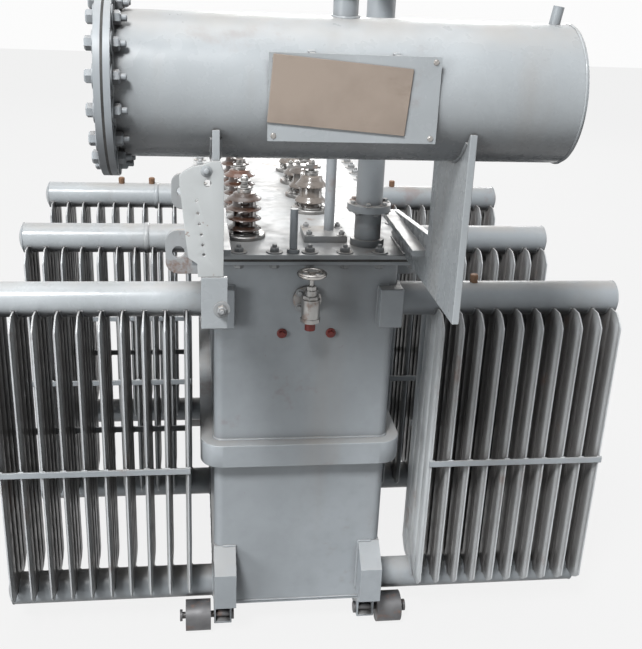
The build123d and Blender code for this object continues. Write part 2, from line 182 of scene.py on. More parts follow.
class Nodes:
    """A short way to write a node tree."""

    def __init__(self, name):
        self.material = bpy.data.materials.new(name)
        self.material.use_nodes = True
        self.tree = self.material.node_tree
        self.shader = self.tree.nodes["Principled BSDF"]
        self.coords = self.tree.nodes.new("ShaderNodeTexCoord")
        self.geometry = self.tree.nodes.new("ShaderNodeNewGeometry")

    def link(self, a, b):
        self.tree.links.new(a, b)

    def noise(self, scale, detail=4.0, rough=0.55, stretch=(1, 1, 1)):
        mapping = self.tree.nodes.new("ShaderNodeMapping")
        mapping.inputs["Scale"].default_value = stretch
        self.link(self.coords.outputs["Object"], mapping.inputs["Vector"])
        node = self.tree.nodes.new("ShaderNodeTexNoise")
        node.inputs["Scale"].default_value = scale
        node.inputs["Detail"].default_value = detail
        node.inputs["Roughness"].default_value = rough
        self.link(mapping.outputs["Vector"], node.inputs["Vector"])
        return node.outputs["Fac"]

    @staticmethod
    def limits(node, *numbers):
        for key, number in zip(("From Min", "From Max", "To Min", "To Max"), numbers):
            node.inputs[key].default_value = number

    def ramp(self, value, low, high, out_low=0.0, out_high=1.0):
        node = self.tree.nodes.new("ShaderNodeMapRange")
        node.interpolation_type = "SMOOTHSTEP"
        self.limits(node, low, high, out_low, out_high)
        self.link(value, node.inputs["Value"])
        return node.outputs["Result"]

    def math(self, kind, a, b):
        node = self.tree.nodes.new("ShaderNodeMath")
        node.operation = kind
        for socket, value in zip(node.inputs, (a, b)):
            if isinstance(value, (int, float)):
                socket.default_value = value
            else:
                self.link(value, socket)
        return node.outputs[0]

    def mix(self, factor, a, b):
        node = self.tree.nodes.new("ShaderNodeMix")
        node.data_type = "RGBA"
        for socket, value in ((node.inputs[0], factor), (node.inputs[6], a), (node.inputs[7], b)):
            if isinstance(value, (int, float)):
                socket.default_value = value
            elif isinstance(value, tuple):
                socket.default_value = (*value, 1)
            else:
                self.link(value, socket)
        return node.outputs[2]

    def facing(self, axis):
        """How far the surface turns towards an axis of the world."""
        node = self.tree.nodes.new("ShaderNodeSeparateXYZ")
        self.link(self.geometry.outputs["Normal"], node.inputs[0])
        return node.outputs["XYZ".index(axis)]

    def crevice(self, distance):
        """1 in the open and less where other surfaces stand close by."""
        node = self.tree.nodes.new("ShaderNodeAmbientOcclusion")
        node.samples = 6
        node.inputs["Distance"].default_value = distance
        return node.outputs["AO"]

    def bump(self, *layers):
        """Stacks (height, strength, distance) layers on the shader's normal."""
        normal = None
        for height, strength, distance in layers:
            node = self.tree.nodes.new("ShaderNodeBump")
            node.inputs["Strength"].default_value = strength
            node.inputs["Distance"].default_value = distance
            self.link(height, node.inputs["Height"])
            if normal is not None:
                self.link(normal, node.inputs["Normal"])
            normal = node.outputs["Normal"]
        self.link(normal, self.shader.inputs["Normal"])

    def set(self, **values):
        for key, value in values.items():
            socket = self.shader.inputs[key.replace("_", " ")]
            if isinstance(value, tuple):
                socket.default_value = (*value, 1)
            elif isinstance(value, (int, float)):
                socket.default_value = value
            else:
                self.link(value, socket)


RUST = (0.20, 0.085, 0.04)
DUST = (0.42, 0.36, 0.30)
STREAK = (0.30, 0.27, 0.24)
PAINTED_CREASE_SHADE = (0.10, 0.09, 0.085)
PAINTED_UNDERSIDE_SHADE = (0.085, 0.085, 0.09)


def shade(color, share):
    return tuple(c * share for c in color)


def enamel(name, color, rust=0.3, dust=0.35, rough=0.38, reach=0.035, depth=0.62):
    """Grey enamel over steel: mottled and streaked, dusty on top, with rust, and with painted
    shade on its undersides and in its corners.

    reach and depth say how far from a corner the painted shade starts and how dark it gets.
    """
    m = Nodes(name)
    cloud = m.noise(2.4, 5)
    mottle = m.noise(34, 4)
    streak = m.noise(9, 3, stretch=(1.0, 1.0, 0.09))
    base = m.mix(m.ramp(cloud, 0.35, 0.68), shade(color, 0.84), shade(color, 1.10))
    base = m.mix(m.ramp(mottle, 0.42, 0.75, 0, 0.22), base, shade(color, 0.72))
    base = m.mix(m.ramp(streak, 0.54, 0.74, 0, 0.24), base, STREAK)
    up = m.ramp(m.facing("Z"), 0.55, 0.98)
    dusty = m.math("MULTIPLY", up, m.ramp(m.noise(11, 5), 0.35, 0.65, 0.15, dust))
    base = m.mix(dusty, base, DUST)
    # Painted shade: surfaces that face down are darkened towards a near-black grey.
    under = m.ramp(m.facing("Z"), -0.80, -0.15, 0.68, 0.0)
    base = m.mix(under, base, PAINTED_UNDERSIDE_SHADE)
    # Painted shade: darker where other surfaces stand close, by ambient occlusion.
    crease_shade_mask = m.ramp(m.crevice(reach), 0.30, 0.86, depth, 0.0)
    base = m.mix(crease_shade_mask, base, PAINTED_CREASE_SHADE)
    specks = m.ramp(m.noise(58, 6, 0.7), 0.66, 0.71)
    patches = m.ramp(m.noise(6.5, 6, 0.65), 0.60, 0.70)
    spots = m.math("MULTIPLY", m.math("MAXIMUM", m.math("MULTIPLY", specks, 0.7), patches), rust)
    base = m.mix(spots, base, RUST)
    roughness = m.ramp(mottle, 0.3, 0.8, rough - 0.07, rough + 0.12)
    roughness = m.math("ADD", roughness, m.math("MULTIPLY", dusty, 0.35))
    m.set(Base_Color=base, Roughness=roughness, Specular_IOR_Level=0.45)
    m.bump((m.noise(160, 2), 0.10, 0.0006), (m.noise(21, 4, stretch=(1, 1, 0.3)), 0.16, 0.0015))
    return m.material


def metal(name, color, rough, rust=0.0, metallic=1.0):
    m = Nodes(name)
    base = m.mix(m.ramp(m.noise(18, 5), 0.35, 0.7), shade(color, 0.7), color)
    spots = m.ramp(m.noise(40, 6, 0.7), 0.52, 0.68, 0, rust)
    base = m.mix(spots, base, RUST)
    # Painted shade: darker where other surfaces stand close, by ambient occlusion.
    base = m.mix(m.ramp(m.crevice(0.02), 0.35, 0.85, 0.6, 0.0), base, (0.05, 0.045, 0.04))
    m.set(
        Base_Color=base,
        Metallic=m.ramp(spots, 0.05, 0.5, metallic, 0.0),
        Roughness=m.ramp(m.noise(26, 4), 0.3, 0.8, rough - 0.08, rough + 0.14),
    )
    m.bump((m.noise(90, 4), 0.2, 0.0008))
    return m.material


def rubber(name):
    m = Nodes(name)
    base = m.mix(m.ramp(m.noise(30, 4), 0.3, 0.7), (0.02, 0.02, 0.02), (0.06, 0.058, 0.055))
    m.set(Base_Color=base, Roughness=0.75)
    m.bump((m.noise(120, 3), 0.2, 0.0006))
    return m.material


def glaze(name, dark, light, dust):
    """Glazed porcelain with dust lying on the sheds."""
    m = Nodes(name)
    base = m.mix(m.ramp(m.noise(14, 4), 0.35, 0.7), dark, light)
    settled = m.ramp(m.noise(16, 5), 0.3, 0.65, 0.08, dust)
    dusty = m.math("MULTIPLY", m.ramp(m.facing("Z"), 0.2, 0.9), settled)
    base = m.mix(dusty, base, (0.20, 0.17, 0.145))
    # Painted shade: darker between the sheds and where other surfaces stand close, by ambient
    # occlusion.
    base = m.mix(m.ramp(m.crevice(0.02), 0.3, 0.9, 0.5, 0.0), base, (0.03, 0.02, 0.015))
    m.set(Base_Color=base, Roughness=m.ramp(dusty, 0.0, 0.5, 0.14, 0.6), Coat_Weight=0.6)
    m.bump((m.noise(40, 3), 0.12, 0.0008))
    return m.material


def pale_board(name):
    """The bare sign plate: sun-faded beige with scuffs, and painted shade where other surfaces
    stand close to it.
    """
    m = Nodes(name)
    base = m.mix(m.ramp(m.noise(7, 5), 0.3, 0.7), (0.25, 0.205, 0.172), (0.345, 0.285, 0.24))
    scuff = m.ramp(m.noise(30, 6, 0.7, stretch=(0.4, 1, 1)), 0.58, 0.72, 0, 0.3)
    base = m.mix(scuff, base, (0.20, 0.16, 0.13))
    # Painted shade: darker near its edges and where other surfaces stand close, by ambient
    # occlusion.
    base = m.mix(m.ramp(m.crevice(0.02), 0.4, 0.9, 0.5, 0.0), base, (0.12, 0.10, 0.085))
    m.set(Base_Color=base, Roughness=m.ramp(m.noise(24, 4), 0.3, 0.7, 0.42, 0.62))
    m.bump((m.noise(12, 3), 0.15, 0.001), (m.noise(150, 3), 0.12, 0.0004))
    return m.material


def paint(name, color):
    m = Nodes(name)
    base = m.mix(m.ramp(m.noise(45, 5), 0.35, 0.7), shade(color, 0.55), color)
    m.set(Base_Color=base, Roughness=0.45)
    m.bump((m.noise(80, 3), 0.2, 0.0008))
    return m.material


grey = enamel("grey_enamel", (0.355, 0.385, 0.410))
# The paler enamel also serves as painted light on the left upper headers.
grey_pale = enamel("grey_enamel_pale", (0.41, 0.44, 0.46), rust=0.18, rough=0.27)
grey_worn = enamel("grey_enamel_worn", (0.36, 0.375, 0.385), rust=0.85, dust=0.6, rough=0.46)
# The fins take a painted shade that reaches farther and goes darker in the gaps between them.
grey_fin = enamel(
    "grey_enamel_fins", (0.56, 0.585, 0.60), rust=0.35, dust=0.3, reach=0.065, depth=0.90
)
grey_front = enamel(
    "grey_enamel_front_plate", (0.56, 0.585, 0.59), rust=0.95, dust=0.3, rough=0.36
)
grey_cover = enamel("grey_enamel_cover", (0.44, 0.465, 0.48), rust=0.7, dust=0.25, rough=0.42)
seal = rubber("seal_rubber")
porcelain = glaze("brown_glaze", (0.030, 0.013, 0.008), (0.10, 0.034, 0.016), dust=0.30)
glaze_grey = glaze("grey_brown_glaze", (0.10, 0.085, 0.075), (0.19, 0.165, 0.145), dust=0.7)
board = pale_board("pale_plate")
red = paint("red_paint", (0.20, 0.016, 0.010))
steel = metal("bare_steel", (0.52, 0.50, 0.475), 0.32, rust=0.35)
steel_dull = metal("weathered_steel", (0.40, 0.395, 0.385), 0.36, rust=0.55, metallic=0.8)
iron = metal("dark_iron", (0.17, 0.17, 0.175), 0.55, rust=0.5, metallic=0.6)
rusty = metal("rusty_steel", (0.26, 0.15, 0.09), 0.7, rust=0.9, metallic=0.3)

PART_MATERIALS = {
    "cover_gasket": seal,
    "conservator_gasket": seal,
    "sign_plate": board,
    "valve_plug": red,
    "valve_handwheel": steel,
    "valve_body": steel_dull,
    "roller_axles": iron,
    "support_left": grey_pale,
    "support_right": grey_pale,
    "conservator_shell": grey_pale,
    "conservator_welded_end": grey_pale,
    "label_plate": grey_pale,
    "lifting_lugs": grey_worn,
    "tank_cover": grey_cover,
    # Painted light: the left upper headers take the paler enamel so that they read brighter, as
    # if lit, than the right ones in grey.
    "left_top_headers": grey_pale,
    "raised_plate": grey_worn,
    "hv_bushings": porcelain,
    "lv_bushings": glaze_grey,
}
for name, node in nodes.items():
    chosen = PART_MATERIALS.get(name, iron if name.startswith("roller") else grey)
    if not node.material_slots:
        node.data.materials.append(chosen)
    for slot in node.material_slots:
        slot.material = chosen


def soften(name, width):
    """Rounds a CAD node's sharp edges with modifiers; its own mesh stays as it is."""
    node = nodes[name]
    weld = node.modifiers.new("weld", "WELD")
    weld.merge_threshold = 0.00002
    bevel = node.modifiers.new("bevel", "BEVEL")
    bevel.width = width
    bevel.segments = 2
    bevel.limit_method = "ANGLE"
    bevel.angle_limit = math.radians(40)
    bevel.harden_normals = True


EDGE_WIDTH = {
    "tank_cover": 0.0015,
    "tank_rim": 0.0012,
    "stiffener_band": 0.002,
    "upper_corner_pads": 0.003,
    "jacking_lugs": 0.0025,
    "lifting_lugs": 0.0015,
    "skid_channels": 0.0015,
    "support_left": 0.0015,
    "support_right": 0.0015,
    "label_plate": 0.0008,
    "sign_plate": 0.0006,
    "raised_plate": 0.0015,
    "left_straps": 0.001,
    "right_straps": 0.001,
}
for name, width in EDGE_WIDTH.items():
    soften(name, width)


# Radiator fins: pressed panels with rounded flutes that close towards the seams

FIN_COUNT = 10
FIN_T = 0.011
SEAM_T = 0.003
FLUTES = 4
EDGE_FLAT = 0.008  # the flat seam along each upright edge
FLANK = 0.009  # how wide a flute's rise is, from seam to crest
CORNER = 0.026  # what is cut off each corner
SEAT = 0.025  # how far a fin reaches past the near side of its header
FLUTE_END = 0.030  # the length over which a flute closes
NECK_FADE = 0.034  # the width over which the open neck at a header closes sideways
END_ROWS = [0.0, 0.003, 0.008, 0.014, 0.021, 0.029, 0.045]  # from each end
MIDDLE_ROWS = [0.18, 0.34, 0.5, 0.66, 0.82]  # shares of the length


def smooth(t):
    t = max(0.0, min(1.0, t))
    return t * t * (3 - 2 * t)


def fin_columns(width):
    """Stations across a fin, as (y, how far the flute stands out)."""
    flute = (width - 2 * EDGE_FLAT) / FLUTES
    rise = [(0.0, 0.0), (0.33, 0.22), (0.67, 0.80), (1.0, 1.0)]
    stations = [(-width / 2, 0.0), (-width / 2 + EDGE_FLAT / 2, 0.0)]
    for i in range(FLUTES):
        y = -width / 2 + EDGE_FLAT + i * flute
        stations += [(y + share * FLANK, out) for share, out in rise]
        stations.append((y + flute / 2, 1.04))
        stations += [(y + flute - share * FLANK, out) for share, out in reversed(rise[1:])]
    stations += [(width / 2 - inset, 0.0) for inset in (EDGE_FLAT, EDGE_FLAT / 2, 0.0)]
    return stations


def add_fin(bm, x, y_mid, width, low, high, header_r):
    """One fin between the axes of its two headers."""
    stations = fin_columns(width)
    sides = []
    for sign in (-1, 1):
        grid = []
        for y, out in stations:
            cut = max(0.0, CORNER - (width / 2 - abs(y)))
            bottom = low + header_r - SEAT + cut
            top = high - header_r + SEAT - cut
            if abs(y) < header_r:
                arc = math.sqrt(header_r**2 - y * y)
                bottom = max(bottom, low + arc)
                top = min(top, high - arc)
            length = top - bottom
            rows = [bottom + e for e in END_ROWS] + [bottom + m * length for m in MIDDLE_ROWS]
            rows += [top - e for e in reversed(END_ROWS)]
            neck = smooth(1.35 - abs(y) / NECK_FADE)
            column = []
            for z in rows:
                near = min(z - bottom, top - z)
                opened = smooth(near / FLUTE_END)
                share = max(out * opened, neck * (1 - opened), out * neck)
                stand = SEAM_T / 2 + (FIN_T - SEAM_T) / 2 * share
                stand = min(stand, FIN_T / 2)
                column.append(bm.verts.new((x + sign * stand, y_mid + y, z)))
            grid.append(column)
        sides.append(grid)
        for a, b in zip(grid, grid[1:]):
            for k in range(len(a) - 1):
                bm.faces.new((a[k], b[k], b[k + 1], a[k + 1]))
    left, right = sides
    last = len(left[0]) - 1
    for i in range(len(left) - 1):
        for k in (0, last):
            bm.faces.new((left[i][k], left[i + 1][k], right[i + 1][k], right[i][k]))
    for k in range(last):
        for i in (0, -1):
            bm.faces.new((left[i][k], left[i][k + 1], right[i][k + 1], right[i][k]))


def header_axes(side, place):
    """The axes' heights, the pipes' radius and the bank's middle Y."""
    fins_lo, fins_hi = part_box(f"fins_{side}_{place}")
    top_lo, top_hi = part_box(side + "_top_headers")
    low_lo, low_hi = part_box(side + "_bottom_headers")
    r = (top_hi.z - top_lo.z) / 2
    return (low_lo.z + low_hi.z) / 2, (top_lo.z + top_hi.z) / 2, r, (fins_lo.y + fins_hi.y) / 2


fin_places = {}
for side in ("left", "right"):
    for place in ("front", "middle", "rear"):
        name = f"fins_{side}_{place}"
        lo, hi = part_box(name)
        low, high, r, y_mid = header_axes(side, place)
        pitch = (hi.x - lo.x - FIN_T) / (FIN_COUNT - 1)
        xs = [lo.x + FIN_T / 2 + i * pitch for i in range(FIN_COUNT)]
        fin_places[side, place] = (xs, y_mid, low, high, r)
        bm = bmesh.new()
        for x in xs:
            add_fin(bm, x, y_mid, hi.y - lo.y, low, high, r)
        panels = new_object(
            f"panels_{side}_{place}", bm, grey_fin, smooth_deg=50
        )
        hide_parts(name)


# Welds of the fins to the headers, and of the headers to the tank

rng = random.Random(7)
HEADER_DOME = 0.0125  # the length of a header's domed end


def ring_points(center, axis, radius, count=36, start=0.0):
    """Evenly spaced points on a circle round an axis, from a start angle in degrees."""
    place = aim(center, axis)
    angles = [math.radians(start + 360.0 * k / count) for k in range(count)]
    return [place @ Vector((radius * math.cos(a), radius * math.sin(a), 0)) for a in angles]


for (side, place), (xs, y_mid, low, high, r) in fin_places.items():
    bm = bmesh.new()
    reach = math.acos((r - SEAT) / r)
    for x in xs:
        for face in (-1, 1):
            for z, down in ((high, -1), (low, 1)):
                bead_x = x + face * FIN_T * 0.46
                path = []
                for k in range(13):
                    a = reach * (2 * k / 12 - 1)
                    spot = (bead_x, y_mid + r * math.sin(a), z + down * r * math.cos(a))
                    path.append(Vector(spot))
                tube(bm, path, 0.0026, 5, False, 0.25, rng)
    top_lo, top_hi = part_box(side + "_top_headers")
    if side == "left":
        wall, seam_x = tank_lo.x, top_lo.x + HEADER_DOME
    else:
        wall, seam_x = tank_hi.x, top_hi.x - HEADER_DOME
    for z in (low, high):
        tube(bm, ring_points((wall, y_mid, z), RIGHT, r), 0.0045, 6, True, 0.16, rng)
        tube(bm, ring_points((seam_x, y_mid, z), RIGHT, r), 0.0014, 6, True, 0.2, rng)
    new_object(f"header_welds_{side}_{place}", bm, grey)


# Bolts round the cover, the conservator's bolted end and the other flanges

cover_lo, cover_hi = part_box("tank_cover")
rim_lo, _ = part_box("tank_rim")
BOLT_INSET = 0.021
BOLT_PITCH = 0.075
BOLT_ACROSS = 0.018


def rim_points():
    """Bolt places round the cover, evenly spaced along each side."""
    x0, x1 = cover_lo.x + BOLT_INSET, cover_hi.x - BOLT_INSET
    y0, y1 = cover_lo.y + BOLT_INSET, cover_hi.y - BOLT_INSET
    across = round((x1 - x0) / BOLT_PITCH)
    along = round((y1 - y0) / BOLT_PITCH)
    spots = [(x0 + (x1 - x0) * i / across, y) for i in range(across + 1) for y in (y0, y1)]
    spots += [(x, y0 + (y1 - y0) * i / along) for i in range(1, along) for x in (x0, x1)]
    return spots


for name, z, direction, head, shank in (
    ("cover_bolts", cover_hi.z, UP, 0.009, 0.006),
    ("cover_nuts", rim_lo.z, DOWN, 0.010, 0.0),
):
    bm = bmesh.new()
    for x, y in rim_points():
        bolt(bm, (x, y, z), direction, BOLT_ACROSS, head, shank, turn=rng.uniform(0, 1))
    new_object(name, bm, grey_worn)

shell_lo, shell_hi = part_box("conservator_shell")
flange_lo, flange_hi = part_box("conservator_flange")
end_lo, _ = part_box("conservator_cover")
cons = (shell_lo + shell_hi) / 2
cons_r = (shell_hi.z - shell_lo.z) / 2
flange_r = (flange_hi.z - flange_lo.z) / 2
END_BOLTS = 16
END_BOLT_INSET = 0.020
END_BOLT_ACROSS, END_BOLT_HEAD = 0.019, 0.011
bm = bmesh.new()
for k in range(END_BOLTS):
    a = 2 * math.pi * (k + 0.5) / END_BOLTS
    spot = Vector((0, math.cos(a), math.sin(a))) * (flange_r - END_BOLT_INSET)
    for x, direction, shank in ((end_lo.x, LEFT, 0.0), (flange_hi.x, RIGHT, 0.009)):
        point = Vector((x, cons.y, cons.z)) + spot
        turn = rng.uniform(0, 1)
        bolt(bm, point, direction, END_BOLT_ACROSS, END_BOLT_HEAD, shank, turn=turn)
new_object("conservator_bolts", bm, grey)


# Fasteners on the fittings


def bolt_circle(bm, center, axis, radius, count, across, head, turn):
    for spot in ring_points(center, axis, radius, count, math.degrees(turn)):
        bolt(bm, spot, axis, across, head, turn=rng.uniform(0, 1))


# The vent pipe's places, in mm from the tank's middle and the floor
VENT_X, VENT_Y, VENT_TOP = 130, -508, 1512
VENT_FLANGE_Z, VENT_FLANGE_T = 1047, 14
VENT_LEAN = math.radians(60)
VENT_BOLTS, VENT_BOLT_ACROSS = 6, 0.010
hood = at(VENT_X, VENT_Y, VENT_TOP)
hood_axis = Vector((0, -math.sin(VENT_LEAN), math.cos(VENT_LEAN)))
flange_top = at(VENT_X, VENT_Y, VENT_FLANGE_Z + VENT_FLANGE_T)
flange_foot = at(VENT_X, VENT_Y, VENT_FLANGE_Z)
bm = bmesh.new()
for center, axis, radius, head, turn in (
    (flange_top, UP, 0.038, 0.006, 0.3),
    (flange_foot, DOWN, 0.038, 0.006, 0.3),
    (hood + 0.090 * hood_axis, hood_axis, 0.0345, 0.005, 0.5),
    (hood + 0.076 * hood_axis, -hood_axis, 0.0365, 0.006, 0.5),
):
    bolt_circle(bm, center, axis, radius, VENT_BOLTS, VENT_BOLT_ACROSS, head, turn)
PLATE_BOLT_INSET = 0.011
plate_lo, plate_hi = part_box("raised_plate")
for x in (plate_lo.x + PLATE_BOLT_INSET, plate_hi.x - PLATE_BOLT_INSET):
    for y in (plate_lo.y + PLATE_BOLT_INSET, plate_hi.y - PLATE_BOLT_INSET):
        bolt(bm, (x, y, plate_hi.z), UP, 0.011, 0.007, 0.003, turn=rng.uniform(0, 1))
valve_flange = Vector((mid_x, mid_y - 0.560, 0.862))
bolt_circle(bm, valve_flange, FRONT, 0.023, 4, 0.009, 0.006, math.pi / 4)
new_object("fitting_bolts", bm, grey_worn)

# The nut on the left support's cleat
bm = bmesh.new()
cleat_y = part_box("support_left")[0].y
bolt(bm, (mid_x - 0.192, cleat_y, 1.002), FRONT, 0.014, 0.008, 0.005, turn=0.3)
new_object("cleat_nut", bm, grey_worn)


PLATE_EDGE = 0.0008  # the rounding of a flat plate's edges


def flat_plate(name, outline, holes, face_y, thick, material):
    """A plate that faces the front, from points of (X, Z) in mm with round holes (X, Z, r)."""
    curve = bpy.data.curves.new(name, "CURVE")
    curve.dimensions = "2D"
    curve.fill_mode = "BOTH"
    curve.extrude = thick / 2 - PLATE_EDGE
    curve.bevel_depth = PLATE_EDGE
    rings = [outline]
    for x, z, r in holes:
        angles = [2 * math.pi * k / 20 for k in range(20)]
        rings.append([(x + r * math.cos(a), z + r * math.sin(a)) for a in angles])
    for ring in rings:
        spline = curve.splines.new("POLY")
        spline.points.add(len(ring) - 1)
        for point, (x, z) in zip(spline.points, ring):
            point.co = (mid_x + x * MM, z * MM, 0, 1)
        spline.use_cyclic_u = True
    flat = bpy.data.objects.new(name + "_outline", curve)
    mesh = bpy.data.meshes.new_from_object(flat)
    bm = bmesh.new()
    bm.from_mesh(mesh)
    bmesh.ops.remove_doubles(bm, verts=bm.verts, dist=0.00001)
    for v in bm.verts:
        x, z, y = v.co
        v.co = (x, face_y + thick / 2 + y, z)
    bpy.data.objects.remove(flat)
    bpy.data.curves.remove(curve)
    bpy.data.meshes.remove(mesh)
    return new_object(name, bm, material)


# The left support's broad front plate, drilled down its middle, with an eye near the top
FRONT_PLATE = [
    (-229, 1057), (-230, 1078), (-244, 1088), (-248, 1124), (-252, 1164),
    (-256, 1204), (-256, 1218), (-250, 1224), (-236, 1232), (-222, 1234),
    (-207, 1240), (-196, 1240), (-190, 1225), (-190, 1057),
]
FRONT_EYE = (-214, 1207, 6.5)
DRILLED = [(-220, 1093), (-222, 1109), (-224, 1126), (-227, 1143), (-229, 1160), (-231, 1180)]
FRONT_HOLES = [FRONT_EYE] + [(x, z, 3) for x, z in DRILLED]
FRONT_PLATE_T = 0.008
SUPPORT_X, SUPPORT_T = 0.195, 0.012  # the inner face and the thickness of both supports' webs
web_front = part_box("support_right")[0].y
plate_front = web_front - FRONT_PLATE_T
flat_plate(
    "support_front_plate",
    FRONT_PLATE,
    FRONT_HOLES,
    plate_front,
    FRONT_PLATE_T,
    grey_front,
)
bm = bmesh.new()
for dx in (0, SUPPORT_T):
    x = mid_x - SUPPORT_X - dx
    weld_run(bm, [Vector((x, web_front, z)) for z in (1.06, 1.235)], 0.0028, rng)
bolt(bm, (mid_x - 0.216, plate_front, 1.226), FRONT, 0.009, 0.005, turn=0.4)
new_object("support_plate_trim", bm, grey_pale, smooth_deg=60)

label_lo, label_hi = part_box("label_plate")
bm = bmesh.new()
SCREW = [(0, -0.001), (0.0045, -0.001), (0.0045, 0.0005), (0.0032, 0.0018), (0, 0.0023)]
for x in (label_lo.x + 0.009, label_hi.x - 0.009):
    for z in (label_lo.z + 0.008, label_hi.z - 0.008):
        lathe(bm, SCREW, aim((x, label_lo.y, z), FRONT), 14)
new_object("label_screws", bm, steel)

# Two red-painted plugs beside the valve
PLUG_RING = [(0, -0.002), (0.011, -0.002), (0.011, 0.002), (0.0095, 0.003), (0, 0.003)]
PLUG_HEAD = [(0, 0.003), (0.008, 0.003), (0.008, 0.009), (0.0065, 0.0105), (0, 0.0105)]
bm = bmesh.new()
for x in (-0.051, 0.055):
    place = aim((mid_x + x, tank_lo.y, 0.783), FRONT, 0.4)
    lathe(bm, PLUG_RING, place, 18)
    lathe(bm, PLUG_HEAD, place, 6)
new_object("red_plugs", bm, red)

# Collars on the two upper left headers behind the front one
bm = bmesh.new()
half_collar = [(0.0375, 0.007), (0.0395, 0.006), (0.041, 0.003)]
COLLAR = [(r, -x) for r, x in half_collar] + half_collar[::-1]
for place, x in (("middle", -0.360), ("rear", -0.352)):
    _, y_mid, _, high, _ = fin_places["left", place]
    lathe(bm, COLLAR, aim((mid_x + x, y_mid, high), RIGHT), 40)
new_object("header_collars", bm, grey_pale)

# Air plugs on top of the upper headers
PLUG_BOSS_R, PLUG_BOSS_H = 0.009, 0.010
bm = bmesh.new()
for side, place, x in (
    ("right", "front", 0.388),
    ("right", "rear", 0.388),
    ("left", "rear", -0.366),
    ("left", "rear", -0.457),
):
    _, y_mid, _, high, r = fin_places[side, place]
    foot = Vector((mid_x + x, y_mid, high + r - 0.002))
    boss = [(0, 0), (PLUG_BOSS_R, 0), (PLUG_BOSS_R, PLUG_BOSS_H), (0, PLUG_BOSS_H)]
    lathe(bm, boss, aim(foot, UP), 18)
    bolt(bm, foot + Vector((0, 0, PLUG_BOSS_H)), UP, 0.017, 0.010, washer=False, turn=0.4)
new_object("air_plugs", bm, rusty)


# Weld beads where plates meet


def corner_path(half_x, half_y, radius, z):
    """The outline of a rounded rectangle round the tank's middle."""
    steps = 6
    points = []
    for k, (sx, sy) in enumerate(((1, 1), (-1, 1), (-1, -1), (1, -1))):
        for i in range(steps + 1):
            a = math.pi / 2 * (k + i / steps)
            x = sx * (half_x - radius) + radius * math.cos(a)
            y = sy * (half_y - radius) + radius * math.sin(a)
            points.append(Vector((mid_x + x, mid_y + y, z)))
    return points


TANK_R = 0.020  # the radius of the tank's upright corners
half_x = (tank_hi.x - tank_lo.x) / 2
half_y = (tank_hi.y - tank_lo.y) / 2
band_lo, band_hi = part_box("stiffener_band")
bm = bmesh.new()
for z, bead in (
    (band_lo.z, 0.0034),
    (band_hi.z, 0.0034),
    (rim_lo.z, 0.003),
    (tank_lo.z, 0.0028),
):
    weld_run(bm, corner_path(half_x, half_y, TANK_R, z), bead, rng, 0.008, closed=True)
new_object("tank_welds", bm, grey, smooth_deg=60)

# Inner x, outer x, lower z and upper z of the welds, and the bead's radius
PAD_WELD = (0.154, 0.176, 0.804, 0.892, 0.003)
JACK_WELD = (0.146, 0.176, 0.114, 0.246, 0.0036)
LUG_Y, LUG_HALF_T, LUG_Z0, LUG_Z1 = 0.300, 0.006, 0.836, 0.942
bm = bmesh.new()
for sx in (-1, 1):
    for sy in (-1, 1):
        y = mid_y + sy * half_y
        for x0, x1, z0, z1, bead in (PAD_WELD, JACK_WELD):
            path = [(x1, z0), (x0, z0), (x0, z1), (x1, z1)]
            weld_run(bm, [Vector((mid_x + sx * x, y, z)) for x, z in path], bead, rng)
        x = mid_x + sx * half_x
        for face in (-1, 1):
            y = mid_y + sy * LUG_Y + face * LUG_HALF_T
            weld_run(bm, [Vector((x, y, z)) for z in (LUG_Z0, LUG_Z1)], 0.003, rng)
new_object("lug_welds", bm, grey, smooth_deg=60)

WEB_FOOT = (-0.592, -0.455)  # where a support's foot starts and ends, from the tank's middle
HORN_DROP = 0.052  # how far the cradle's horns stop below the conservator's axis


def drum_side(offset):
    """How far the drum's surface lies from its axis at an offset square to it."""
    return math.sqrt(cons_r**2 - offset**2)


bm = bmesh.new()
for sx in (-1, 1):
    for x in (SUPPORT_X, SUPPORT_X + SUPPORT_T):
        x = mid_x + sx * x
        cradle = ring_points((x, cons.y, cons.z), RIGHT, cons_r + 0.0005, 40)
        arc = sorted((p for p in cradle if p.z < cons.z - HORN_DROP), key=lambda p: p.y)
        tube(bm, arc, 0.0035, 6, False, 0.22, rng)
        weld_run(bm, [Vector((x, mid_y + y, cover_hi.z)) for y in WEB_FOOT], 0.0032, rng)
for x, bead in ((shell_hi.x, 0.0022), (flange_hi.x, 0.004)):
    tube(bm, ring_points((x, cons.y, cons.z), RIGHT, cons_r, 60), bead, 6, True, 0.2, rng)
for z in (label_lo.z, label_hi.z):
    for x in (-0.059, 0.071):
        rib_y = cons.y - drum_side(z - cons.z)
        nugget = [Vector((mid_x + x + d, rib_y, z)) for d in (-0.005, 0, 0.005)]
        tube(bm, nugget, 0.003, 6, False, 0.2, rng)
neck = ring_points((mid_x + 0.004, cons.y, cons.z + cons_r - 0.001), UP, 0.0205, 30)
seam = [Vector((p.x, p.y, cons.z + drum_side(p.y - cons.y))) for p in neck]
tube(bm, seam, 0.003, 6, True, 0.2, rng)
new_object("conservator_welds", bm, grey_pale, smooth_deg=60)

# Small welds of the straps to the fins
STRAP_WELD_OUT = 0.101  # from the bank's middle, just past the fins' edges
bm = bmesh.new()
for (side, _), (xs, y_mid, *_) in fin_places.items():
    strap_lo, strap_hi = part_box(side + "_straps")
    strap_z = (strap_lo.z + strap_hi.z) / 2
    for x in xs:
        for face in (-1, 1):
            y = y_mid + face * STRAP_WELD_OUT
            for z in (strap_z - 0.0075, strap_z + 0.0075):
                nugget = [Vector((x + d, y, z)) for d in (-0.006, 0, 0.006)]
                tube(bm, nugget, 0.0016, 5, False, 0.3, rng)
new_object("strap_welds", bm, grey_fin)

# Bushings: glazed bodies with rounded sheds, on metal feet with clamped terminals

FOOT_R, FOOT_T = 0.046, 0.012
BUSHING_COUNT = {"hv_bushings": 3, "lv_bushings": 4}


